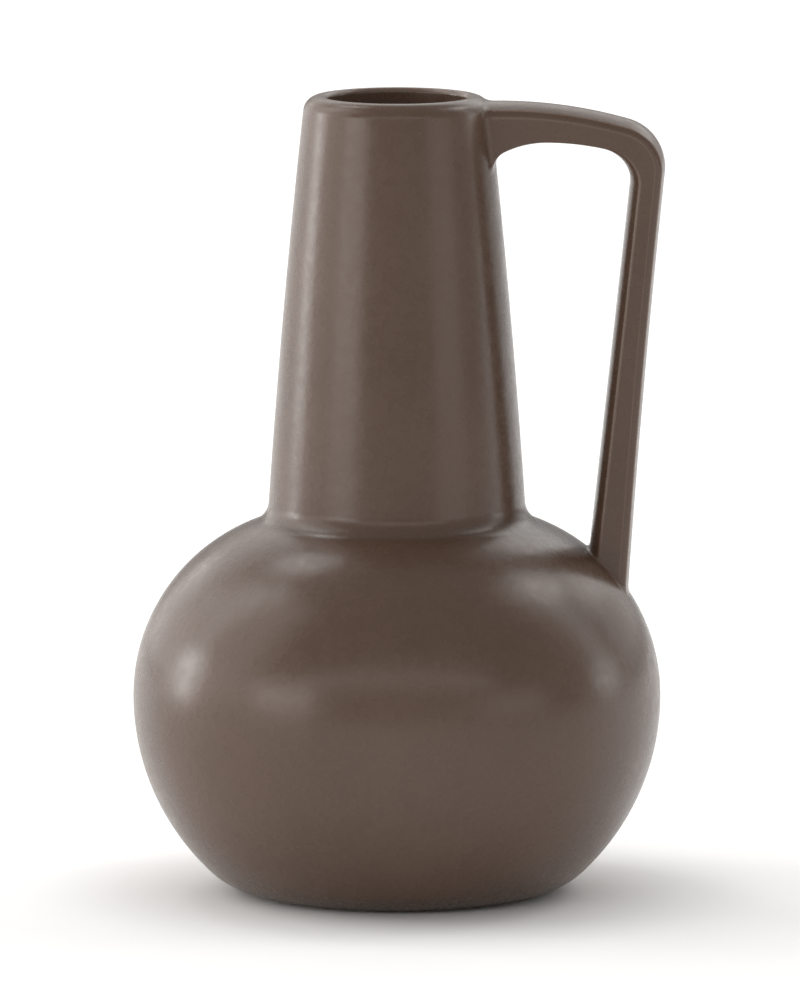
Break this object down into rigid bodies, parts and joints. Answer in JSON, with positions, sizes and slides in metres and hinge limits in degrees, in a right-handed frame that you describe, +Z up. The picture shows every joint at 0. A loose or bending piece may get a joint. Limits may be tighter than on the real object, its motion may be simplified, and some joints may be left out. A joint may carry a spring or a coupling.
{
  "type": "jug vase",
  "caption": "Ceramic jug vase with a squat round belly, a tall tapering neck, a narrow mouth and one strap handle from rim to shoulder.",
  "frame": {"origin": "centre of the foot, on the surface that the jug stands on", "axes": "+Z up along the pot's axis, +X towards the handle, +Y away from the picture's viewer"},
  "size_m": [0.1661, 0.165, 0.25],
  "materials": {
    "glaze": "satin matt taupe brown glaze, inside and out",
    "bare_clay": "dry unglazed stoneware, wiped clean of glaze"
  },
  "bodies": {
    "root": {"foot_ring": "bare_clay", "belly_bowl": "glaze", "shoulder_dome": "glaze", "neck": "glaze", "lip": "glaze", "handle": "glaze"}
  },
  "joints": []
}
